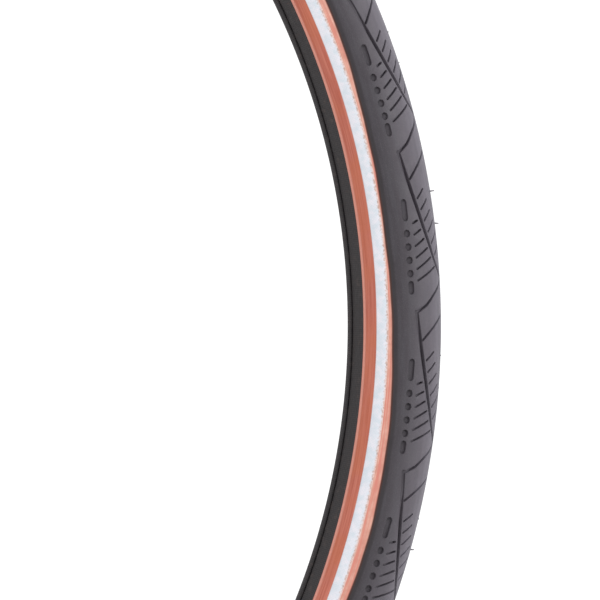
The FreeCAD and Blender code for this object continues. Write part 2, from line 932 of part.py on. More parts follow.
pieces = [make_casing()]
for side_name, side_sign in (("left", -1), ("right", 1)):
    pieces.append(make_bead_bundle(side_name, side_sign))
    pieces.append(make_chafer(side_name, side_sign))
    pieces.append(make_sidewall(side_name, side_sign))
    pieces.append(make_stripe(side_name, side_sign))
pieces += [
    make_belt(),
    make_tread(),
    make_spews(),
    make_tube(),
    make_patch(),
    make_stem(),
    make_core_body(),
    make_core_seal(),
    make_pin(),
    make_plunger_seal(),
    make_spring(),
    make_rim_nut(),
    make_dust_cap(),
]
doc.recompute()

for item in doc.Objects:
    if "Invalid" in item.State or "Error" in item.State:
        raise RuntimeError(f"{item.Label} failed: {item.State}")

os.makedirs("parts", exist_ok=True)
for piece in pieces:
    if piece.Shape.isNull() or not piece.Shape.isValid():
        raise RuntimeError(f"{piece.Label} has no valid shape")
    piece.Shape.exportStep(os.path.join("parts", f"{piece.Label}.step"))
    print(f"{piece.Label}: {len(piece.Shape.Solids)} solids, {piece.Shape.Volume:.1f} mm3")
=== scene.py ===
"""The looks of a 40-622 bicycle tire, its inner tube and its valve.

Lengths are in millimetres up to the moment a mesh is written. A ring is drawn
as a section across the wheel: across is the distance from the wheel's middle
plane, away the distance from the axle. A place on the tire's outer skin is
(along, up): along is the arc round the crown, clockwise seen from the left
side, and up is the arc up the section from its widest point.
"""

import json
import math
import random

import bpy
import numpy as np
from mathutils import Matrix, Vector
from mathutils.geometry import delaunay_2d_cdt


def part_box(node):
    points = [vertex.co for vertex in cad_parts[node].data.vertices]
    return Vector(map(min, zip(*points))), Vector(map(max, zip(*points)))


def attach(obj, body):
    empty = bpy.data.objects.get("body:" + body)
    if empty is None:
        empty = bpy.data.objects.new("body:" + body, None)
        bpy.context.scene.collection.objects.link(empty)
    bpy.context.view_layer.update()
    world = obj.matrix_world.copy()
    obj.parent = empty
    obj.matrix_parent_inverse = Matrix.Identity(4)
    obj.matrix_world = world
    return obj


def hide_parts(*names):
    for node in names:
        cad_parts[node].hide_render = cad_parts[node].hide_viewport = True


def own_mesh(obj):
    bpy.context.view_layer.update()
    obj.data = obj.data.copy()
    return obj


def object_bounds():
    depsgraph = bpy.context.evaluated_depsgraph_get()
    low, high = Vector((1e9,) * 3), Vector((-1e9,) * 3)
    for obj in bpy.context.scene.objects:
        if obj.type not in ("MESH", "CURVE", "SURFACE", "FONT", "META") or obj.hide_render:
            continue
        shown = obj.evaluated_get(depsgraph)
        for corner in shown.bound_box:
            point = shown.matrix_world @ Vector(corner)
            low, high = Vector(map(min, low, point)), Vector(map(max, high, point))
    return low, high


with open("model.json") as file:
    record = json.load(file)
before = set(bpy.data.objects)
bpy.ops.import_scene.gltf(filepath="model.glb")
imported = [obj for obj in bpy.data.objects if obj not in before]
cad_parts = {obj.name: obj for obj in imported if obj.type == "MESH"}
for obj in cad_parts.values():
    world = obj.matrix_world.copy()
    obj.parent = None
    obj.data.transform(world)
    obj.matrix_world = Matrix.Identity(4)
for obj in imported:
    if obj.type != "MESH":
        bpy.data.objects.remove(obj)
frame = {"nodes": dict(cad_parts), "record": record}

cad_low, cad_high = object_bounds()

MM = 0.001
LEFT, RIGHT = -1, 1

# ---------------------------------------------------------------- sizes

# a facetted ring's box is a little small, so its sizes are read to a tenth
OUTER = round(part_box("tread")[1].z / MM, 1)
HALF_WIDTH = round(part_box("tread")[1].y / MM, 1)
MOUNTS = {mount["name"]: mount for mount in frame["record"]["mounts"]}
SEAT = MOUNTS["bead_seat_right"]["dims"]["r_mm"]
CENTRE = OUTER - HALF_WIDTH
TOE = round(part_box("chafer_right")[0].y / MM, 1)
BEAD_WIDTH, BEAD_HEIGHT = 4.2, 3.5
HEEL = TOE + BEAD_WIDTH

# the layers of the wall: the rubber skin, the plies, then the tube with its clearance
SKIN, CASING = 0.6, 1.2
TREAD_THICK, BELT_THICK = 2.9, 0.8
PLY = HALF_WIDTH - SKIN
LINER = PLY - CASING
TUBE_GAP, TUBE_WALL = 0.15, 0.9
TUBE_FLOOR = SEAT + 1.9
CROWN_UP = HALF_WIDTH * math.pi / 2

PITCHES = 32
PITCH = 2 * math.pi * OUTER / PITCHES
PATTERN_START = math.radians(0.97)
RING_STEPS, TUBE_STEPS = 768, 512

# The tread's edge wanders along the sidewall: its mean height up the section, then
# waves of (size, number round the ring, phase). The far side's are turned round.
EDGE_MEAN = 0.1
EDGE_WAVES = (
    (1.4, 8, math.radians(-90 - 8 * 8.5)),
    (0.12, 41, 0.0),
    (0.06, 97, 1.0),
)
FAR_SIDE_TURN = 0.25

random.seed(7)


# ---------------------------------------------------------------- mesh helpers


def add_mesh(name, points, faces, material, sharp=35.0):
    """A mesh object from points in millimetres, smooth but for its sharp edges."""
    mesh = bpy.data.meshes.new(name)
    flat = np.asarray(points, float) * MM
    mesh.from_pydata(flat.tolist(), [], faces)
    mesh.validate()
    mesh.materials.append(material)
    mesh.polygons.foreach_set("use_smooth", [True] * len(mesh.polygons))
    mesh.set_sharp_from_angle(angle=math.radians(sharp))
    mesh.update()
    piece = bpy.data.objects.new(name, mesh)
    bpy.context.scene.collection.objects.link(piece)
    return piece


def place(piece, body, node):
    """Put a piece on its body and hide the CAD node it stands for."""
    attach(piece, body)
    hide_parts(node)


def on_section(radius, degrees):
    """(across, away) on a circle about the section's centre, from its widest point."""
    turn = math.radians(degrees)
    return radius * math.cos(turn), CENTRE + radius * math.sin(turn)


def arc_points(radius, start, end, steps):
    return [
        on_section(radius, start + (end - start) * number / steps)
        for number in range(steps + 1)
    ]


def band(rows, count, closed=False):
    """Quads between rows of points, where each row is a closed loop of count points."""
    faces = []
    for row in range(rows if closed else rows - 1):
        here, there = row * count, ((row + 1) % rows) * count
        for k in range(count):
            after = (k + 1) % count
            faces.append((here + k, here + after, there + after, there + k))
    return faces


def turned_over(faces):
    return [tuple(reversed(face)) for face in faces]


def sweep_section(section, steps=RING_STEPS):
    """Points and quads of a closed section (across, away) carried round the wheel."""
    count = len(section)
    angles = 2 * math.pi * np.arange(steps) / steps
    across = np.array([point[0] for point in section])
    away = np.array([point[1] for point in section])
    points = np.stack(
        [
            np.outer(np.cos(angles), away),
            np.broadcast_to(across, (steps, count)),
            np.outer(np.sin(angles), away),
        ],
        axis=-1,
    ).reshape(-1, 3)
    return points, band(steps, count, closed=True)


def faces_outward(points, faces):
    """Turn the faces over if the closed mesh they make is inside out."""
    points = np.asarray(points)
    volume = 0.0
    for face in faces:
        for second, third in zip(face[1:-1], face[2:]):
            a, b, c = points[face[0]], points[second], points[third]
            volume += float(np.dot(a, np.cross(b, c)))
    return faces if volume > 0 else turned_over(faces)


def runs_inward(section):
    """Whether the faces swept from a section look into it, by the way it goes round."""
    across, away = np.array(section, float).T
    return float(np.sum(across * np.roll(away, -1) - np.roll(across, -1) * away)) > 0


def ring(name, section, material):
    """One closed ring of the tire, from its section."""
    points, faces = sweep_section(section)
    if runs_inward(section):
        faces = turned_over(faces)
    return add_mesh(name, points, faces, material)


# ---------------------------------------------------------------- shader helpers


class Nodes:
    """Builds a material's node tree."""

    def __init__(self, name):
        self.material = bpy.data.materials.new(name)
        self.material.use_nodes = True
        self.tree = self.material.node_tree
        self.shader = self.tree.nodes["Principled BSDF"]

    def add(self, kind, **settings):
        node = self.tree.nodes.new(kind)
        for key, value in settings.items():
            setattr(node, key, value)
        return node

    def link(self, source, target):
        self.tree.links.new(source, target)

    def feed(self, target, value):
        """A socket gets a link from another socket, or a plain value."""
        if hasattr(value, "links"):
            self.link(value, target)
        else:
            target.default_value = value

    def math(self, operation, first, second=0.0, third=0.0):
        node = self.add("ShaderNodeMath", operation=operation)
        for socket, value in zip(node.inputs, (first, second, third)):
            self.feed(socket, value)
        return node.outputs[0]

    def mix(self, factor, first, second):
        node = self.add("ShaderNodeMix", data_type="RGBA")
        self.feed(node.inputs["Factor"], factor)
        colours = [socket for socket in node.inputs if socket.type == "RGBA"]
        self.feed(colours[0], first)
        self.feed(colours[1], second)
        return next(socket for socket in node.outputs if socket.type == "RGBA")

    def ramp(self, value, low, high, first=0.0, second=1.0):
        """Carries value from first to second as it goes from low to high."""
        node = self.add("ShaderNodeMapRange", interpolation_type="SMOOTHSTEP")
        for socket, number in zip(node.inputs, (value, low, high, first, second)):
            self.feed(socket, number)
        return node.outputs[0]

    def noise(self, vector, scale, detail=3.0, roughness=0.5):
        node = self.add("ShaderNodeTexNoise")
        self.link(vector, node.inputs["Vector"])
        node.inputs["Scale"].default_value = scale
        node.inputs["Detail"].default_value = detail
        node.inputs["Roughness"].default_value = roughness
        return node.outputs["Fac"]

    def speckle(self, vector, scale):
        node = self.add("ShaderNodeTexVoronoi")
        self.link(vector, node.inputs["Vector"])
        node.inputs["Scale"].default_value = scale
        return node.outputs["Distance"]

    def vector(self, x, y, z=0.0):
        node = self.add("ShaderNodeCombineXYZ")
        for socket, value in zip(node.inputs, (x, y, z)):
            self.feed(socket, value)
        return node.outputs[0]

    def object_place(self):
        return self.add("ShaderNodeTexCoord").outputs["Object"]

    def on_tire(self):
        """(along, up, side) of the point, in millimetres of the tire's outer skin."""
        parts = self.add("ShaderNodeSeparateXYZ")
        self.link(self.object_place(), parts.inputs[0])
        x, y, z = parts.outputs
        squares = [self.math("MULTIPLY", part, part) for part in (x, z)]
        away = self.math("SQRT", self.math("ADD", *squares))
        turn = self.math("ARCTAN2", z, x)
        along = self.math("MULTIPLY", turn, -OUTER)
        rise = self.math("SUBTRACT", away, CENTRE * MM)
        lean = self.math("ARCTAN2", rise, self.math("ABSOLUTE", y))
        up = self.math("MULTIPLY", lean, HALF_WIDTH)
        return along, up, y

    def place_mm(self):
        """The point itself, in millimetres, for patterns with no direction."""
        node = self.add("ShaderNodeVectorMath", operation="SCALE")
        self.link(self.object_place(), node.inputs[0])
        node.inputs["Scale"].default_value = 1 / MM
        return node.outputs[0]

    def streaks(self, up, round_scale, up_scale):
        """Noise drawn out along the ring, with no seam anywhere round it."""
        parts = self.add("ShaderNodeSeparateXYZ")
        self.link(self.place_mm(), parts.inputs[0])
        stretched = self.vector(
            self.math("MULTIPLY", parts.outputs[0], round_scale),
            self.math("MULTIPLY", parts.outputs[2], round_scale),
            self.math("MULTIPLY", up, up_scale),
        )
        return self.noise(stretched, 1.0)

    def ply_cords(self, along, up, pitch=1.1):
        """Height of the slanted ply cords that show faintly through rubber."""
        slant = self.math("ADD", along, up)
        turns = self.math("MULTIPLY", slant, 2 * math.pi / whole(pitch * math.sqrt(2)))
        return self.math("MULTIPLY_ADD", self.math("SINE", turns), 0.5, 0.5)

    def weave(self, along, up, pitch):
        """Height of a plain weave of threads crossing at 45 degrees."""
        rate = 2 * math.pi / whole(2 * pitch)
        warp = self.math("SINE", self.math("MULTIPLY", self.math("ADD", along, up), rate))
        weft = self.math("SINE", self.math("MULTIPLY", self.math("SUBTRACT", along, up), rate))
        return self.math("MULTIPLY_ADD", self.math("MULTIPLY", warp, weft), 0.5, 0.5)

    def above_edge(self, along, up, y):
        """How far up the section a point is from the tread's wandering edge."""
        turn = self.math("MULTIPLY", along, -1 / OUTER)
        far = self.math("MULTIPLY", self.math("GREATER_THAN", y, 0.0), FAR_SIDE_TURN)
        height = self.math("SUBTRACT", up, EDGE_MEAN)
        for size, waves, phase in EDGE_WAVES:
            angle = self.math("MULTIPLY_ADD", self.math("ADD", turn, far), waves, phase)
            height = self.math("MULTIPLY_ADD", self.math("SINE", angle), -size, height)
        return height

    def bump(self, height, strength, distance, under=None):
        node = self.add("ShaderNodeBump")
        node.inputs["Strength"].default_value = strength
        node.inputs["Distance"].default_value = distance
        self.link(height, node.inputs["Height"])
        if under is not None:
            self.link(under, node.inputs["Normal"])
        return node.outputs[0]

    def surface(self, colour, roughness, normal=None, **sockets):
        """Sets the shader: sockets holds constants, a space in a name written as _."""
        self.feed(self.shader.inputs["Base Color"], colour)
        self.feed(self.shader.inputs["Roughness"], roughness)
        if normal is not None:
            self.link(normal, self.shader.inputs["Normal"])
        for key, value in sockets.items():
            self.shader.inputs[key.replace("_", " ")].default_value = value
        return self.material


def whole(length):
    """The nearest length that goes a whole number of times round the crown."""
    ring_length = 2 * math.pi * OUTER
    return ring_length / round(ring_length / length)


def srgb(red, green, blue):
    """A colour given as the eye sees it, 0 to 255, as the shader wants it."""

    def linear(level):
        level /= 255.0
        return level / 12.92 if level <= 0.04045 else ((level + 0.055) / 1.055) ** 2.4

    return (linear(red), linear(green), linear(blue), 1.0)


# ---------------------------------------------------------------- materials


def tread_material():
    """Black tread rubber: moulded grain, paler grey towards the crown, partly scuffing and
    partly a painted reflection of the bright surroundings.
    """
    m = Nodes("tread_rubber_black")
    along, up, y = m.on_tire()
    spot = m.place_mm()
    grain = m.noise(spot, 3.2, 2.0, 0.7)
    patches = m.noise(spot, 0.16, 4.0, 0.6)
    smears = m.streaks(up, 0.05, 0.5)
    # Paler towards the crown: partly scuffing, partly a painted reflection of the bright
    # surroundings on the crown.
    scuff_and_sheen = m.ramp(m.math("MULTIPLY_ADD", patches, 4.0, up), 4.0, 24.0)
    crown = m.ramp(m.math("MULTIPLY_ADD", patches, 5.0, up), 18.0, 31.0)
    colour = m.mix(scuff_and_sheen, srgb(50, 45, 51), srgb(88, 83, 91))
    colour = m.mix(crown, colour, srgb(112, 108, 117))
    colour = m.mix(m.ramp(smears, 0.35, 0.75, 0.0, 0.35), colour, srgb(68, 67, 73))
    colour = m.mix(m.ramp(grain, 0.5, 0.8, 0.0, 0.25), colour, srgb(114, 108, 116))
    from_edge = m.above_edge(along, up, y)
    # Darker in a band just above the tread's wandering edge.
    seam = m.ramp(from_edge, 1.4, 2.6, 0.8, 0.0)
    colour = m.mix(seam, colour, srgb(36, 30, 34))
    # Dark brown along the tread's edge: partly thin black rubber over the red, partly painted
    # shade of the step onto the sidewall.
    lip = m.ramp(from_edge, 0.1, 0.7, 0.9, 0.0)
    colour = m.mix(lip, colour, srgb(56, 30, 24))
    roughness = m.ramp(patches, 0.2, 0.8, 0.52, 0.74)
    normal = m.bump(grain, 0.25, 0.00012)
    normal = m.bump(m.speckle(spot, 1.7), 0.08, 0.00015, normal)
    return m.surface(colour, roughness, normal, Specular_IOR_Level=0.45)


def spew_material():
    m = Nodes("spew_rubber")
    grain = m.noise(m.object_place(), 900.0)
    colour = m.mix(grain, srgb(70, 66, 74), srgb(104, 98, 110))
    return m.surface(colour, 0.6)


def sidewall_material():
    """Brick red rubber, with the plies showing through and a painted highlight along the rim
    line.
    """
    m = Nodes("sidewall_rubber_red")
    along, up, y = m.on_tire()
    spot = m.place_mm()
    mottle = m.noise(spot, 0.22, 4.0, 0.6)
    streaks = m.streaks(up, 0.04, 1.6)
    grain = m.noise(spot, 4.0, 2.0, 0.6)
    orange = m.noise(spot, 0.05, 2.0, 0.5)
    colour = m.mix(m.ramp(streaks, 0.3, 0.7), srgb(176, 92, 74), srgb(196, 116, 98))
    colour = m.mix(m.ramp(orange, 0.42, 0.6, 0.0, 0.5), colour, srgb(190, 106, 74))
    colour = m.mix(m.ramp(mottle, 0.45, 0.8, 0.0, 0.35), colour, srgb(190, 114, 104))
    colour = m.mix(m.ramp(grain, 0.5, 0.8, 0.0, 0.14), colour, srgb(222, 152, 132))
    # Painted highlight: the raised rib beside the rim is drawn paler, as where it catches the
    # light.
    rim_rib_highlight = m.ramp(up, -11.9, -12.7, 0.0, 0.85)
    colour = m.mix(rim_rib_highlight, colour, srgb(206, 142, 128))
    outer = m.ramp(up, -2.9, -2.0)
    pale = m.mix(m.ramp(mottle, 0.3, 0.7), srgb(196, 138, 122), srgb(214, 164, 148))
    pink = m.mix(m.ramp(streaks, 0.35, 0.65), pale, srgb(204, 128, 114))
    colour = m.mix(outer, colour, pink)
    # Dark brown under the tread's edge: partly thin black rubber over the red, partly a painted
    # shadow cast by the raised edge.
    edge_film_and_shadow = m.ramp(m.above_edge(along, up, y), -0.75, -0.15, 0.0, 0.95)
    colour = m.mix(edge_film_and_shadow, colour, srgb(60, 30, 24))
    # Painted shadow: the sidewall's foot is darkened where the rim flange's gap would shade it.
    foot = m.ramp(up, -13.3, -13.75)
    colour = m.mix(foot, colour, srgb(50, 22, 20))
    normal = m.bump(grain, 0.2, 0.0001)
    normal = m.bump(m.ply_cords(along, up), 0.16, 0.0001, normal)
    return m.surface(colour, m.ramp(mottle, 0.3, 0.7, 0.5, 0.66), normal, Specular_IOR_Level=0.4)


def stripe_material():
    """Reflective film: white under a fine grid of beads, nicked along its outer edge."""
    m = Nodes("reflective_film_white")
    along, up, _ = m.on_tire()
    spot = m.place_mm()
    tint = m.noise(spot, 0.35, 3.0, 0.6)
    cell = 2 * math.pi / whole(1.25)
    rows = m.math("SINE", m.math("MULTIPLY", up, cell))
    columns = m.math("SINE", m.math("MULTIPLY", along, cell))
    grid = m.math("MULTIPLY_ADD", m.math("MULTIPLY", rows, columns), 0.5, 0.5)
    colour = m.mix(m.ramp(tint, 0.3, 0.7), srgb(229, 227, 235), srgb(210, 218, 227))
    colour = m.mix(m.ramp(grid, 0.45, 0.95, 0.0, 0.22), colour, srgb(196, 204, 212))
    nicks = m.noise(spot, 1.1, 3.0, 0.7)
    at_edge = m.ramp(up, -3.9, -2.5, 0.0, 0.8)
    ragged = m.math("MULTIPLY", m.ramp(nicks, 0.52, 0.6), at_edge)
    colour = m.mix(ragged, colour, srgb(150, 128, 112))
    dashes = m.ramp(m.noise(spot, 0.62, 1.0, 0.4), 0.58, 0.63, 0.0, 0.85)
    dashes = m.math("MULTIPLY", dashes, m.ramp(up, -3.1, -2.7))
    colour = m.mix(dashes, colour, srgb(96, 74, 60))
    blush = m.ramp(m.math("MULTIPLY_ADD", nicks, 1.4, up), -2.7, -1.6, 0.0, 0.8)
    colour = m.mix(blush, colour, srgb(216, 176, 162))
    inner = m.ramp(up, -7.1, -7.4, 0.0, 0.6)
    colour = m.mix(inner, colour, srgb(190, 140, 132))
    normal = m.bump(grid, 0.25, 0.00008)
    return m.surface(colour, 0.34, normal, Coat_Weight=0.25, Coat_Roughness=0.2)


def chafer_material():
    """Rubberised black cloth, polished where it has rubbed on a rim."""
    m = Nodes("chafer_cloth_black")
    along, up, _ = m.on_tire()
    weave = m.weave(along, up, 0.9)
    dust = m.noise(m.place_mm(), 0.3, 4.0, 0.6)
    colour = m.mix(weave, srgb(34, 31, 33), srgb(58, 54, 56))
    colour = m.mix(m.ramp(dust, 0.5, 0.8, 0.0, 0.4), colour, srgb(96, 84, 80))
    normal = m.bump(weave, 0.5, 0.0002)
    return m.surface(colour, m.ramp(dust, 0.3, 0.7, 0.45, 0.7), normal)


def casing_material():
    """Skim-coated nylon plies: dark rubber over slanting cords."""
    m = Nodes("casing_ply_dark")
    along, up, _ = m.on_tire()
    cords = m.ply_cords(along, up, 0.8)
    dust = m.noise(m.place_mm(), 0.2, 4.0, 0.6)
    colour = m.mix(cords, srgb(62, 50, 40), srgb(96, 80, 62))
    colour = m.mix(m.ramp(dust, 0.45, 0.8, 0.0, 0.4), colour, srgb(124, 112, 98))
    return m.surface(colour, 0.62, m.bump(cords, 0.5, 0.0002))


def belt_material():
    m = Nodes("belt_aramid_weave")
    along, up, _ = m.on_tire()
    weave = m.weave(along, up, 1.3)
    strands = m.noise(m.place_mm(), 2.0, 3.0)
    colour = m.mix(weave, srgb(150, 108, 34), srgb(216, 174, 78))
    colour = m.mix(m.math("MULTIPLY", strands, 0.3), colour, srgb(120, 84, 30))
    return m.surface(colour, 0.7, m.bump(weave, 0.6, 0.0003), Sheen_Weight=0.3)


def tube_material():
    """Black butyl, matt with talc, with the mould's fine ribs round it."""
    m = Nodes("butyl_black")
    _, _, y = m.on_tire()
    spot = m.place_mm()
    talc = m.noise(spot, 0.12, 5.0, 0.65)
    ribs = m.math("SINE", m.math("MULTIPLY", y, 2 * math.pi / (1.4 * MM)))
    colour = m.mix(m.ramp(talc, 0.42, 0.75), srgb(38, 37, 39), srgb(92, 91, 94))
    normal = m.bump(m.math("MULTIPLY_ADD", ribs, 0.5, 0.5), 0.2, 0.00012)
    normal = m.bump(m.noise(spot, 1.4, 3.0), 0.15, 0.0002, normal)
    return m.surface(colour, m.ramp(talc, 0.4, 0.7, 0.42, 0.75), normal)


def metal_material(name, pale, dark, roughness):
    """Plated or plain metal with fine turning marks and a little tarnish."""
    m = Nodes(name)
    spot = m.object_place()
    tarnish = m.noise(spot, 600.0, 4.0, 0.6)
    parts = m.add("ShaderNodeSeparateXYZ")
    m.link(spot, parts.inputs[0])
    marks = m.noise(m.vector(0.0, 0.0, m.math("MULTIPLY", parts.outputs[2], 9000.0)), 1.0, 2.0)
    colour = m.mix(m.ramp(tarnish, 0.35, 0.75), pale, dark)
    rough = m.ramp(tarnish, 0.3, 0.8, roughness, roughness + 0.18)
    return m.surface(colour, rough, m.bump(marks, 0.12, 0.00003), Metallic=1.0)


def seal_material():
    m = Nodes("seal_rubber_red")
    spot = m.object_place()
    colour = m.mix(m.noise(spot, 1500.0), srgb(120, 34, 28), srgb(158, 58, 46))
    return m.surface(colour, 0.5, m.bump(m.noise(spot, 5000.0), 0.1, 0.00003))


def cap_material():
    """Black nylon with a fine spark-eroded grain, rubbed bright along its ribs."""
    m = Nodes("cap_nylon_black")
    spot = m.object_place()
    grain = m.noise(spot, 3200.0, 3.0, 0.6)
    scuffs = m.noise(spot, 420.0, 4.0, 0.6)
    colour = m.mix(m.ramp(scuffs, 0.5, 0.75), srgb(30, 30, 32), srgb(62, 62, 65))
    return m.surface(colour, m.ramp(scuffs, 0.3, 0.7, 0.38, 0.6), m.bump(grain, 0.3, 0.00005))


# ---------------------------------------------------------------- the tread

# Heights up the section: the tread's edge, and where its wander has died out.
TREAD_EDGE, EDGE_REACH = 0.4, 4.5
# Each groove is a line of (along, up) within one pitch, half a width and a depth. Its
# eased lip and its steep side end this far in from its edge.
DEEP, SHALLOW, DIMPLE = 1.9, 1.5, 1.5
LIP, WALL = 0.14, 0.32
# The mesh of one pitch between the grooves.
COLUMNS, ROWS = 24, 12

MAIN_LINE = [(0, 9.9), (9.3, 11.3), (19.8, 13.3), (30.2, 15.9)]
MAIN_LINE += [(38.6, 18.7), (47.0, 22.4), (52.2, 26.4), (54.4, 29.2)]
HOOK_LINE = [(54.4, 29.2), (58.5, 24.7), (61.7, 20.1), (65.9, 15.3), (68.4, 10.9)]
BRANCH_LINE = [(12.0, 13.2), (8.3, 17.4), (4.2, 23.0), (1.2, 28.0)]
HOOK_LEAN = (-0.62, 0.78)


def height_of(line, along):
    return float(np.interp(along, [p[0] for p in line], [p[1] for p in line]))


def tread_strokes():
    """Every groove of one pitch: (points, half width, depth)."""
    strokes = [
        (MAIN_LINE, 1.0, DEEP),
        (HOOK_LINE, 0.78, DEEP),
        (BRANCH_LINE, 0.7, SHALLOW),
    ]
    for number in range(6):
        foot_along = 20.6 + 4.85 * number
        foot_up = height_of(MAIN_LINE, foot_along) + 2.0
        length = 5.8 + 0.55 * number
        tip = (foot_along + HOOK_LEAN[0] * length, min(foot_up + HOOK_LEAN[1] * length, 29.6))
        strokes.append(([(foot_along, foot_up), tip], 0.62, SHALLOW))
    for number in range(6):
        foot = (30.8 + 4.9 * number, 11.2)
        top_along = foot[0] - 0.9 - 0.9 * number
        top_up = height_of(MAIN_LINE, top_along) - 2.3
        strokes.append(([foot, (top_along, top_up)], 0.62, SHALLOW))
    strokes.append(([(21.3, 8.1), (28.4, 7.9)], 1.4, DIMPLE))
    for number in range(4):
        spot = 35.0 + 5.75 * number
        strokes.append(([(spot - 0.25, 7.8), (spot + 0.25, 7.8)], 1.55, DIMPLE))
    strokes.append(([(56.6, 7.8), (60.0, 7.8)], 1.4, DIMPLE))
    return strokes


def smooth_line(line, spacing=2.6):
    """The line as a curve through its points, in even steps."""
    if len(line) == 2:
        count = max(int(math.dist(*line) / spacing), 1)
        start, step = np.array(line[0]), np.subtract(line[1], line[0])
        return [tuple(start + step * k / count) for k in range(count + 1)]
    points = np.array([line[0]] + list(line) + [line[-1]], float)
    out = []
    for a, b, c, d in zip(points, points[1:], points[2:], points[3:]):
        count = max(int(np.linalg.norm(c - b) / spacing), 1)
        for k in range(count):
            f = k / count
            bend, twist = 2 * a - 5 * b + 4 * c - d, 3 * b - a - 3 * c + d
            out.append(tuple(0.5 * (2 * b + (c - a) * f + bend * f**2 + twist * f**3)))
    out.append(tuple(points[-1]))
    return out


def stroke_outline(line, half, cap_steps=4):
    """The closed outline at a distance of half round a line."""
    points = np.array(line, float)
    way = np.gradient(points, axis=0)
    way /= np.linalg.norm(way, axis=1)[:, None]
    left = np.stack([-way[:, 1], way[:, 0]], axis=1)
    outline = [tuple(p) for p in points + left * half]

    def cap(at, start):
        first = math.atan2(start[1], start[0])
        turns = [first - math.pi * k / cap_steps for k in range(1, cap_steps)]
        return [(at[0] + half * math.cos(t), at[1] + half * math.sin(t)) for t in turns]

    outline += cap(points[-1], left[-1])
    outline += [tuple(p) for p in (points - left * half)[::-1]]
    outline += cap(points[0], -left[0])
    return outline


def distance_to_line(places, line):
    """How far each place is from the nearest stretch of a line."""
    best = np.full(len(places), 1e9)
    points = np.array(line, float)
    for a, b in zip(points, points[1:]):
        step = b - a
        share = np.clip(((places - a) @ step) / (step @ step), 0.0, 1.0)
        gap = np.linalg.norm(places - (a + share[:, None] * step), axis=1)
        best = np.minimum(best, gap)
    return best


def groove_depths(places, strokes):
    """Depth of the tread surface under each place: a small lip, a steep wall, a floor."""
    depth = np.zeros(len(places))
    for line, half, full in strokes:
        inside = half - distance_to_line(places, line)
        here = np.interp(inside, [0.0, LIP, WALL], [0.0, LIP * 0.8, full])
        depth = np.maximum(depth, here)
    return depth


def tread_cell():
    """One pitch of one half of the tread: places (along, up), depths and faces."""
    own = [(smooth_line(line), half, depth) for line, half, depth in tread_strokes()]
    strokes = []
    for shift in (-PITCH, 0.0, PITCH):
        for line, half, depth in own:
            moved = [(x + shift, y) for x, y in line]
            if max(p[0] for p in moved) > -2 and min(p[0] for p in moved) < PITCH + 2:
                strokes.append((moved, half, depth))

    places, edges = [], []

    def outline(points):
        first = len(places)
        places.extend(points)
        count = len(points)
        edges.extend((first + k, first + (k + 1) % count) for k in range(count))

    border = [(PITCH * k / COLUMNS, TREAD_EDGE) for k in range(COLUMNS)]
    side = [TREAD_EDGE + (CROWN_UP - TREAD_EDGE) * k / ROWS for k in range(ROWS)]
    border += [(PITCH, up) for up in side]
    border += [(PITCH * (1 - k / COLUMNS), CROWN_UP) for k in range(COLUMNS)]
    border += [(0.0, up) for up in (side + [CROWN_UP])[:0:-1]]
    outline(border)
    for line, half, _ in strokes:
        for inset in (0.0, LIP, WALL):
            outline(stroke_outline(line, half - inset))
    inner = [
        (PITCH * (column + 0.5 * (row % 2)) / COLUMNS, up)
        for row, up in enumerate(side)
        if row > 0
        for column in range(1, COLUMNS)
    ]
    places.extend(inner)
    found, _, triangles, *_ = delaunay_2d_cdt(
        [Vector(p) for p in places], edges, [], 0, 1e-4
    )
    found = np.array([tuple(p) for p in found])
    keep = []
    for face in triangles:
        middle = found[list(face)].mean(axis=0)
        if 0 < middle[0] < PITCH and TREAD_EDGE < middle[1] < CROWN_UP:
            keep.append(tuple(face))
    used = np.unique(np.array(keep).ravel())
    renumber = {old: new for new, old in enumerate(used)}
    found = found[used]
    faces = [tuple(renumber[corner] for corner in face) for face in keep]
    return found, groove_depths(found, strokes), faces


def edge_wander(turn, side):
    """How far the tread's edge strays from TREAD_EDGE up or down the sidewall."""
    if side == RIGHT:
        turn = turn + FAR_SIDE_TURN
    height = EDGE_MEAN - TREAD_EDGE
    for size, waves, phase in EDGE_WAVES:
        height = height + size * np.sin(waves * turn + phase)
    return height


def turn_of(along):
    return PATTERN_START - along / OUTER


def skin_points(along, up, sink, side):
    """Points on the tire's skin, sunk into it."""
    turn = turn_of(along)
    lean = up / HALF_WIDTH
    reach = HALF_WIDTH - sink
    away = CENTRE + reach * np.sin(lean)
    return np.stack(
        [away * np.cos(turn), side * reach * np.cos(lean), away * np.sin(turn)], axis=-1
    )


def weld(points, faces, reach=0.001):
    """Join points that coincide, twice over, so that none is missed at a rounding step."""
    faces = np.array(faces)
    for shift in (0.5, 0.0):
        keys = np.floor(points / reach + shift)
        _, first, inverse = np.unique(keys, axis=0, return_index=True, return_inverse=True)
        points = points[first]
        faces = inverse.reshape(-1)[faces]
        apart = faces != np.roll(faces, 1, axis=1)
        faces = faces[apart.all(axis=1)]
    return points, [tuple(face) for face in faces.tolist()]


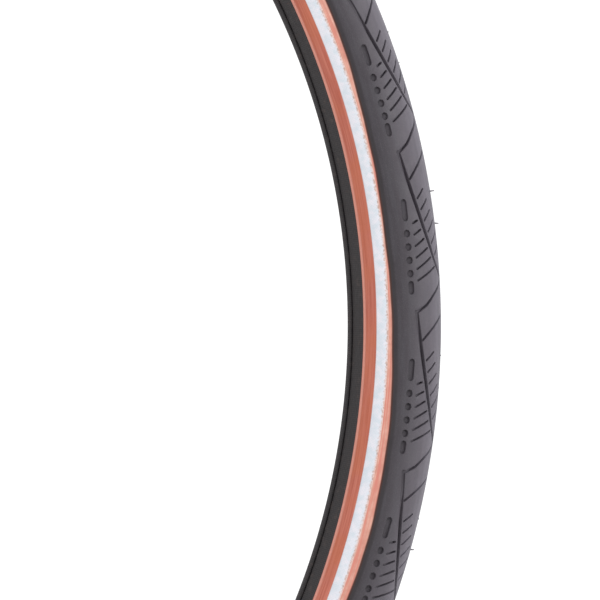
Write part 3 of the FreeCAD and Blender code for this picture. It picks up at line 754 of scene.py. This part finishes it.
def make_tread(material):
    """The whole tread: both halves of every pitch, closed by its inner face."""
    cell, depth, cell_faces = tread_cell()
    fade = np.clip((EDGE_REACH - cell[:, 1]) / (EDGE_REACH - TREAD_EDGE), 0.0, 1.0)
    base_faces = np.array(cell_faces)
    points, faces = [], []
    count = 0

    def take(new_points, new_faces):
        nonlocal count
        points.append(new_points)
        faces.append(np.array(new_faces) + count)
        count += len(new_points)

    for side in (LEFT, RIGHT):
        facing = base_faces if side == LEFT else base_faces[:, ::-1]
        for pitch in range(PITCHES):
            along = cell[:, 0] + pitch * PITCH
            up = cell[:, 1] + edge_wander(turn_of(along), side) * fade
            take(skin_points(along, up, depth, side), facing)

    # the inner face, from one edge over the belt to the other edge
    steps = COLUMNS * PITCHES
    along = PITCH * np.arange(steps) / COLUMNS
    under = [(0.0, 0.0), (0.0, SKIN), (0.35, SKIN), (0.75, 2.3), (1.0, TREAD_THICK)]
    rows = []
    for side, shares in ((LEFT, under), (RIGHT, under[::-1][1:])):
        wander = edge_wander(turn_of(along), side)
        for share, sink in shares:
            up = TREAD_EDGE + wander * (1 - share) + (CROWN_UP - TREAD_EDGE) * share
            rows.append(skin_points(along, up, np.full(steps, sink), side))
    inner = []
    for row in range(len(rows) - 1):
        here = row * steps
        there = here + steps
        for k in range(steps):
            after = (k + 1) % steps
            inner.append((here + k, there + k, there + after))
            inner.append((here + k, there + after, here + after))
    take(np.concatenate(rows), inner)
    points, faces = weld(np.concatenate(points), np.concatenate(faces))
    piece = add_mesh("tread_grooved", points, faces, material, 28.0)
    place(piece, "tire", "tread")


# ---------------------------------------------------------------- the tire's plain rings


def skin_arc(radius, start, end, steps):
    """A stretch of a section circle between two places up the section."""
    degrees = [math.degrees(up / HALF_WIDTH) for up in (start, end)]
    return arc_points(radius, degrees[0], degrees[1], steps)


def mirrored(section, side):
    return [(across * side, away) for across, away in section]


CHAFER_TOP = -13.72
STRIPE_LOW, STRIPE_HIGH = -7.4, -2.19
STRIPE_DEPTH = 0.25


def rim_line_profile():
    """The fine raised line beside the rim: a rib with a narrow ditch outside it."""
    outline = []
    for up, lift in (
        (CHAFER_TOP, -0.1),
        (-13.62, 0.06),
        (-13.45, 0.24),
        (-13.2, 0.3),
        (-12.95, 0.24),
        (-12.75, 0.05),
        (-12.6, -0.07),
        (-12.4, -0.05),
        (-12.2, 0.0),
    ):
        outline.append(on_section(HALF_WIDTH + lift, math.degrees(up / HALF_WIDTH)))
    return outline


def make_sidewall(name, side, material):
    """Coloured rubber: rim line, inner band, the stripe's bed, outer band."""
    bed = HALF_WIDTH - STRIPE_DEPTH
    section = rim_line_profile()
    section += skin_arc(HALF_WIDTH, -11.9, STRIPE_LOW - 0.12, 8)
    section += skin_arc(HALF_WIDTH - 0.05, STRIPE_LOW - 0.04, STRIPE_LOW - 0.02, 1)
    section += skin_arc(bed, STRIPE_LOW - 0.01, STRIPE_HIGH + 0.01, 8)
    section += skin_arc(HALF_WIDTH - 0.05, STRIPE_HIGH + 0.02, STRIPE_HIGH + 0.04, 1)
    section += skin_arc(HALF_WIDTH - 0.04, STRIPE_HIGH + 0.12, -1.9, 1)
    section += skin_arc(HALF_WIDTH - 0.12, -1.75, 2.4, 8)
    section += skin_arc(PLY, 2.4, CHAFER_TOP, 20)
    piece = ring(f"sidewall_{name}_rubber", mirrored(section, side), material)
    place(piece, "tire", f"sidewall_{name}")


def make_stripe(name, side, material):
    """The reflective band, a hair proud of the rubber, with soft edges."""
    top = HALF_WIDTH + 0.02
    section = [on_section(HALF_WIDTH - 0.02, math.degrees(STRIPE_LOW / HALF_WIDTH))]
    section += skin_arc(top, STRIPE_LOW + 0.1, STRIPE_HIGH - 0.1, 10)
    section += [on_section(HALF_WIDTH - 0.02, math.degrees(STRIPE_HIGH / HALF_WIDTH))]
    section += skin_arc(HALF_WIDTH - STRIPE_DEPTH, STRIPE_HIGH, STRIPE_LOW, 10)
    piece = ring(f"stripe_{name}_film", mirrored(section, side), material)
    place(piece, "tire", f"reflective_stripe_{name}")


def wall_point(radius, across):
    """The point of a section circle, below its centre, at a distance across."""
    return across, CENTRE - math.sqrt(radius * radius - across * across)


def rounded(corners, radius, steps=4):
    """The outline with each marked corner turned into an arc."""
    out = []
    for number, (point, soften) in enumerate(corners):
        here = np.array(point, float)
        if not soften:
            out.append(tuple(here))
            continue
        before = np.array(corners[number - 1][0], float) - here
        after = np.array(corners[(number + 1) % len(corners)][0], float) - here
        reach = min(radius, 0.45 * np.linalg.norm(before), 0.45 * np.linalg.norm(after))
        start = here + before / np.linalg.norm(before) * reach
        end = here + after / np.linalg.norm(after) * reach
        for step in range(steps + 1):
            share = step / steps
            pull = 2 * share * (1 - share)
            out.append(tuple(start * (1 - share) ** 2 + here * pull + end * share**2))
    return out


def make_chafer(name, side, material):
    """Rubberised cloth round the bead's toe, seat and heel, its top edge thinned."""
    bead_top = SEAT + BEAD_HEIGHT
    corners = [
        ((TOE, bead_top), False),
        ((TOE, SEAT), True),
        ((HEEL, SEAT), True),
        (wall_point(HALF_WIDTH, HEEL), True),
    ]
    section = rounded(corners, 0.9)
    heel_degrees = -math.degrees(math.acos(HEEL / HALF_WIDTH))
    top_degrees = math.degrees(CHAFER_TOP / HALF_WIDTH)
    section += arc_points(HALF_WIDTH, heel_degrees + 1.5, top_degrees - 0.8, 6)
    section.append(on_section(HALF_WIDTH - 0.12, top_degrees))
    inner_heel = -math.degrees(math.acos((HEEL - SKIN) / PLY))
    section += arc_points(PLY, top_degrees, inner_heel, 6)
    section += [
        (HEEL - SKIN, SEAT + SKIN),
        (TOE + SKIN, SEAT + SKIN),
        (TOE + SKIN, bead_top),
    ]
    piece = ring(f"chafer_{name}_cloth", mirrored(section, side), material)
    place(piece, "tire", f"chafer_{name}")


def make_tube(material):
    """The inner tube: an outer skin with a ribbed floor, hollow inside."""
    half_floor = TOE - 0.3
    radius = LINER - TUBE_GAP
    shoulder = -48.0
    tops = arc_points(radius, 1.2, 90.0, 10)
    crown_away = OUTER - TREAD_THICK - BELT_THICK - CASING - TUBE_GAP
    squash = (crown_away - CENTRE) / radius
    for k, (across, away) in enumerate(tops):
        tops[k] = (across, CENTRE + (away - CENTRE) * (1 - (1 - squash) * k / 10))

    def half(inward):
        scale = (radius - inward) / radius
        turn = [
            ((0.0, TUBE_FLOOR + inward), False),
            ((half_floor - inward, TUBE_FLOOR + inward), True),
            ((half_floor - inward, SEAT + 3.95 + inward * 0.8), True),
            (on_section(radius - inward, shoulder), False),
        ]
        right = rounded(turn, 0.8)[:-1]
        right += arc_points(radius - inward, shoulder, 0.0, 12)
        right += [(a * scale, CENTRE + (r - CENTRE) * scale) for a, r in tops]
        return right

    points, faces = [], []
    for inward, hollow in ((0.0, False), (TUBE_WALL, True)):
        right = half(inward)
        outline = right + [(-a, r) for a, r in right[-2:0:-1]]
        new_points, new_faces = sweep_section(outline, TUBE_STEPS)
        new_faces = [tuple(i + len(points) for i in f) for f in new_faces]
        if runs_inward(outline) != hollow:
            new_faces = turned_over(new_faces)
        points += new_points.tolist()
        faces += new_faces
    piece = add_mesh("inner_tube_butyl", points, faces, material)
    place(piece, "tire", "inner_tube")


def make_spews(material):
    """Fine rubber hairs: each a bent, tapering thread rooted in the tread."""
    points, faces = [], []
    rows, sides = 5, 6
    tip_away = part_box("vent_spews")[1].z / MM
    for number in range(PITCHES):
        for side, drop in ((LEFT, 3.0), (RIGHT, 5.2)):
            turn = PATTERN_START - math.radians(360.0 * number / PITCHES + drop)
            across, away = on_section(HALF_WIDTH - 0.2, 82.0)
            worn = number % 4 != 3 if side == LEFT else number % 3 != 1
            length = (tip_away - away) * random.uniform(0.85, 1.0)
            if worn:
                length = random.uniform(0.5, 0.8)
            bend = random.uniform(-0.25, 0.25) * length
            lean = random.uniform(-0.15, 0.15) * length
            start = len(points)
            for row in range(rows + 1):
                share = row / rows
                thick = 0.34 * (1 - 0.45 * share)
                out = away + length * share * 0.96
                aside = side * across + lean * share**2
                shift = bend * share**2
                for k in range(sides):
                    angle = 2 * math.pi * k / sides
                    along = shift + thick * math.cos(angle)
                    points.append(
                        (
                            out * math.cos(turn) - along * math.sin(turn),
                            aside + thick * math.sin(angle),
                            out * math.sin(turn) + along * math.cos(turn),
                        )
                    )
            hair = turned_over(band(rows + 1, sides))
            hair += [tuple(range(sides)), tuple(range(rows * sides, (rows + 1) * sides))[::-1]]
            faces += [tuple(start + corner for corner in face) for face in hair]
    piece = add_mesh("vent_hairs", points, faces, material, 60.0)
    place(piece, "tire", "vent_spews")


# ---------------------------------------------------------------- the valve


def turned(name, profile, material, sides, shape, sharp):
    """A closed profile (radius, distance from the axle) turned about the valve's axis.
    shape(angle, away, radius) is added to the radius of each point."""
    points = []
    for step in range(sides):
        angle = 2 * math.pi * step / sides
        for radius, away in profile:
            grown = max(radius + shape(angle, away, radius), 0.0)
            points.append((grown * math.cos(angle), grown * math.sin(angle), -away))
    points, faces = weld_any(points, band(sides, len(profile), closed=True))
    return add_mesh(name, points, faces_outward(points, faces), material, sharp)


def weld_any(points, faces, digits=4):
    """Join coincident points and drop the faces that lose their area."""
    keys = np.round(np.array(points), digits)
    _, first, inverse = np.unique(keys, axis=0, return_index=True, return_inverse=True)
    inverse = inverse.reshape(-1)
    kept = []
    for face in faces:
        corners = []
        for corner in face:
            joined = int(inverse[corner])
            if joined not in corners:
                corners.append(joined)
        if len(corners) > 2:
            kept.append(tuple(corners))
    return np.array(points)[first], kept


STEM_TIP = -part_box("valve_stem")[1].z / MM
STEM_FOOT = -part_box("valve_stem")[0].z / MM
THREAD, THREAD_PITCH = 3.85, 0.794
SHANK_END = -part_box("rim_nut")[0].z / MM + 1.5
SHANK = MOUNTS["valve_stem"]["dims"]["r_mm"]
# radii: the hole in the nut and the cap, the stem's bores from its tip down, its foot
NUT_BORE = 3.9
MOUTH, CHAMBER, PASSAGE = 2.66, 2.1, 1.5
FLANGE = 4.5


def thread(start, end, depth):
    """A radius change that cuts a screw thread between two distances."""

    def shape(angle, away, radius):
        if radius < MOUTH + 0.5 or not start < away < end:
            return 0.0
        phase = (away / THREAD_PITCH - angle / (2 * math.pi)) % 1.0
        tooth = abs(phase * 2 - 1)
        fade = min((away - start) / THREAD_PITCH, (end - away) / THREAD_PITCH, 1.0)
        return -depth * fade * min(max(tooth * 1.35 - 0.15, 0.0), 1.0)

    return shape


def make_stem(material):
    """Plated brass stem: smooth shank, rolled thread, bored at its tip."""
    tip, foot = STEM_TIP, STEM_FOOT
    thread_top, points_per_pitch = tip + 0.5, 12
    steps = int((SHANK_END - tip) / (THREAD_PITCH / points_per_pitch))
    spacing = (SHANK_END - tip - 0.6) / steps
    profile = [(MOUTH, tip), (THREAD - 0.5, tip), (THREAD, tip + 0.45)]
    profile += [(THREAD, thread_top + spacing * k) for k in range(steps + 1)]
    profile += [(THREAD + 0.1, SHANK_END), (SHANK, SHANK_END + 0.15)]
    profile += [(SHANK, SEAT - 0.25), (THREAD, SEAT), (THREAD, foot - 1.0)]
    profile += [(FLANGE, foot - 1.0), (FLANGE, foot), (PASSAGE, foot)]
    profile += [(PASSAGE, tip + 22), (CHAMBER, tip + 22), (CHAMBER, tip + 8)]
    profile += [(MOUTH, tip + 7), (MOUTH, tip + 0.3)]
    cut = thread(thread_top, SHANK_END, 0.4)
    piece = turned("valve_stem_threaded", profile, material, 48, cut, 50.0)
    place(piece, "tire", "valve_stem")


def make_patch(material):
    """The moulded rubber pad round the stem's foot, domed towards its rim."""
    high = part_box("valve_patch")[1]
    top, bottom = -high.z / MM, TUBE_FLOOR
    squareness, flat_share = 2.6, 0.62
    half_along, half_across = high.x / MM, high.y / MM
    rings, sides = 10, 72
    points = []
    for surface in (0, 1):
        for row in range(rings + 1):
            share = row / rings
            for k in range(sides):
                angle = 2 * math.pi * k / sides
                east, north = math.cos(angle), math.sin(angle)
                spread = share / (
                    abs(east) ** squareness + abs(north) ** squareness
                ) ** (1 / squareness)
                along, across = half_along * spread * east, half_across * spread * north
                away = bottom
                if not surface:
                    edge = max(share - flat_share, 0.0) / (1 - flat_share)
                    away = top + (bottom - top) * (edge**2.2) * 0.92
                turn = along / bottom
                points.append((away * math.sin(turn), across, -away * math.cos(turn)))
    per = (rings + 1) * sides
    disc = band(rings + 1, sides)
    faces = turned_over(disc)
    faces += [tuple(per + corner for corner in face) for face in disc]
    edge_row = rings * sides
    for k in range(sides):
        a, b = edge_row + k, edge_row + (k + 1) % sides
        faces.append((a, per + a, per + b, b))
    points, faces = weld_any(points, faces)
    piece = add_mesh("valve_pad", points, faces_outward(points, faces), material, 50.0)
    place(piece, "tire", "valve_patch")


def make_rim_nut(material):
    """A round nut with coin-edge flutes and eased corners."""
    low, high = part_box("rim_nut")
    top, seat, outer = -high.z / MM, -low.z / MM, high.x / MM
    profile = [(NUT_BORE + 0.35, top), (outer - 0.9, top), (outer - 0.5, top + 0.1)]
    profile += [(outer - 0.12, top + 0.35), (outer, top + 0.6)]
    profile += [(outer, top + 0.6 + (seat - top - 1.2) * k / 4) for k in range(1, 5)]
    profile += [(outer - 0.12, seat - 0.35), (outer - 0.5, seat - 0.1), (outer - 0.9, seat)]
    profile += [(NUT_BORE + 0.35, seat), (NUT_BORE, seat - 0.35), (NUT_BORE, top + 0.35)]

    def flute(angle, _, radius):
        if radius < outer - 0.6:
            return 0.0
        wave = abs(math.sin(12 * angle))
        return -0.38 * (1 - wave) ** 1.5 * min(1.0, (radius - outer + 0.6) / 0.5)

    piece = turned("rim_nut_fluted", profile, material, 192, flute, 30.0)
    place(piece, "rim_nut", "rim_nut")


def make_dust_cap(material):
    """The moulded cap: ribbed skirt, plain collar, gently domed top."""
    low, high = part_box("dust_cap")
    top, foot, outer = -high.z / MM, -low.z / MM, high.x / MM
    inside = STEM_TIP - 0.3
    profile = [(0.0, top), (outer - 2.4, top + 0.06), (outer - 1.2, top + 0.28)]
    profile += [(outer - 0.45, top + 0.8), (outer - 0.1, top + 1.6), (outer, top + 2.4)]
    profile += [(outer, top + 2.4 + (foot - top - 4.0) * k / 8) for k in range(1, 9)]
    profile += [(outer, foot - 1.4), (outer - 0.25, foot - 1.2), (outer - 0.25, foot - 0.2)]
    profile += [(outer - 0.45, foot), (NUT_BORE + 0.2, foot), (NUT_BORE, foot - 0.3)]
    profile += [(NUT_BORE, inside), (0.0, inside)]

    def ribs(angle, away, radius):
        if radius < outer - 0.5 or not top + 1.0 < away < foot - 1.3:
            return 0.0
        fade = min((away - top - 1.0) / 0.8, (foot - 1.3 - away) / 0.3, 1.0)
        return -0.34 * fade * (0.5 - 0.5 * math.cos(16 * angle)) ** 2

    piece = turned("dust_cap_ribbed", profile, material, 160, ribs, 32.0)
    place(piece, "dust_cap", "dust_cap")


def make_spring(material):
    """The core's coil spring, which shortens as the pin goes in."""
    low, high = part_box("core_spring")
    wire, mean, coils = 0.12, 0.775, 6.0
    bottom, length = low.z / MM, (high.z - low.z) / MM
    steps, sides = 168, 8
    points = []
    for step in range(steps + 1):
        share = step / steps
        angle = 2 * math.pi * coils * share
        height = bottom + wire + (length - 2 * wire) * share
        for k in range(sides):
            turn = 2 * math.pi * k / sides
            out = mean + wire * math.cos(turn)
            up = height + wire * math.sin(turn)
            points.append((out * math.cos(angle), out * math.sin(angle), up))
    faces = band(steps + 1, sides)
    faces.append(tuple(range(sides))[::-1])
    faces.append(tuple(range(steps * sides, (steps + 1) * sides)))
    piece = add_mesh("core_spring_coil", points, faces_outward(points, faces), material, 60.0)
    place(piece, "tire", "core_spring")
    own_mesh(piece)


def dress(node, material):
    """A CAD node that stays in view takes a material of its own."""
    slots = frame["nodes"][node].data.materials
    for index in range(len(slots)):
        slots[index] = material
    if not slots:
        slots.append(material)


# ---------------------------------------------------------------- stage, light, camera


def add_plane(name, size, place_at, material):
    half = size / 2
    mesh = bpy.data.meshes.new(name)
    corners = [(x * half, y * half, 0) for x, y in ((-1, -1), (1, -1), (1, 1), (-1, 1))]
    mesh.from_pydata(corners, [], [(0, 1, 2, 3)])
    mesh.materials.append(material)
    plane = bpy.data.objects.new(name, mesh)
    plane.location = place_at
    bpy.context.scene.collection.objects.link(plane)


def add_area_light(name, place_at, aim, size, power):
    """A rectangular softbox at place_at, in metres, turned to face aim."""
    lamp = bpy.data.lights.new(name, "AREA")
    lamp.shape = "RECTANGLE"
    lamp.size, lamp.size_y = size
    lamp.energy = power
    light = bpy.data.objects.new(name, lamp)
    light.location = place_at
    away = Vector(aim) - Vector(place_at)
    light.rotation_euler = away.to_track_quat("-Z", "Y").to_euler()
    bpy.context.scene.collection.objects.link(light)


def set_world(lighting, backdrop):
    """White surroundings, brighter to look at than they are as a light."""
    world = bpy.data.worlds.new("studio_white")
    bpy.context.scene.world = world
    world.use_nodes = True
    tree = world.node_tree
    background = tree.nodes["Background"]
    background.inputs["Color"].default_value = (1.0, 1.0, 1.0, 1.0)
    path = tree.nodes.new("ShaderNodeLightPath")
    strength = tree.nodes.new("ShaderNodeMapRange")
    strength.inputs["To Min"].default_value = lighting
    strength.inputs["To Max"].default_value = backdrop
    tree.links.new(path.outputs["Is Camera Ray"], strength.inputs["Value"])
    tree.links.new(strength.outputs[0], background.inputs["Strength"])


def set_camera():
    """Square to the left side, on the stretch of ring just above the axle's height."""
    view_width = 250.1
    distance = 3000.0
    camera = bpy.data.cameras.new("side_view")
    camera.lens = camera.sensor_width * distance / view_width
    camera.clip_end = 20.0
    eye = bpy.data.objects.new("side_view", camera)
    eye.location = Vector((291.1, -distance, 10.7)) * MM
    eye.rotation_euler = (math.radians(90), 0, 0)
    bpy.context.scene.collection.objects.link(eye)
    bpy.context.scene.camera = eye


def build():
    tread = tread_material()
    sidewall = sidewall_material()
    stripe = stripe_material()
    chafer = chafer_material()
    butyl = tube_material()
    steel = metal_material("bead_wire_bronze", srgb(196, 160, 104), srgb(132, 96, 60), 0.32)
    nickel = metal_material("nickel_plate", srgb(206, 202, 190), srgb(150, 144, 128), 0.2)
    brass = metal_material("core_brass_turned", srgb(214, 176, 104), srgb(160, 122, 66), 0.24)
    wire = metal_material("spring_wire", srgb(190, 190, 194), srgb(130, 130, 136), 0.3)
    seal = seal_material()

    make_tread(tread)
    make_spews(spew_material())
    for name, side in (("left", LEFT), ("right", RIGHT)):
        make_sidewall(name, side, sidewall)
        make_stripe(name, side, stripe)
        make_chafer(name, side, chafer)
        dress(f"bead_wires_{name}", steel)
    dress("casing", casing_material())
    dress("puncture_belt", belt_material())
    make_tube(butyl)
    make_patch(butyl)
    make_stem(nickel)
    make_rim_nut(nickel)
    make_dust_cap(cap_material())
    make_spring(wire)
    for node in ("core_barrel", "core_pin"):
        dress(node, brass)
    for node in ("core_seat_seal", "core_plunger_seal"):
        dress(node, seal)


def light_the_stage():
    floor = Nodes("floor_pale")
    floor.surface(srgb(232, 231, 229), 0.8)
    add_plane("floor", 9.6, (0, 0, cad_low.z - 0.0005), floor.material)
    add_area_light("key_softbox", (-0.5, -2.2, 1.9), (0.2, 0, 0), (1.6, 1.6), 30.0)
    add_area_light("crown_softbox", (2.4, -0.9, 1.0), (0.3, 0, 0), (1.4, 2.0), 44.0)
    add_area_light("back_softbox", (0.4, 2.4, 1.2), (0, 0, 0), (1.8, 1.8), 16.0)
    set_world(0.6, 1.15)
    bpy.context.scene.view_settings.view_transform = "Standard"


build()
light_the_stage()
set_camera()
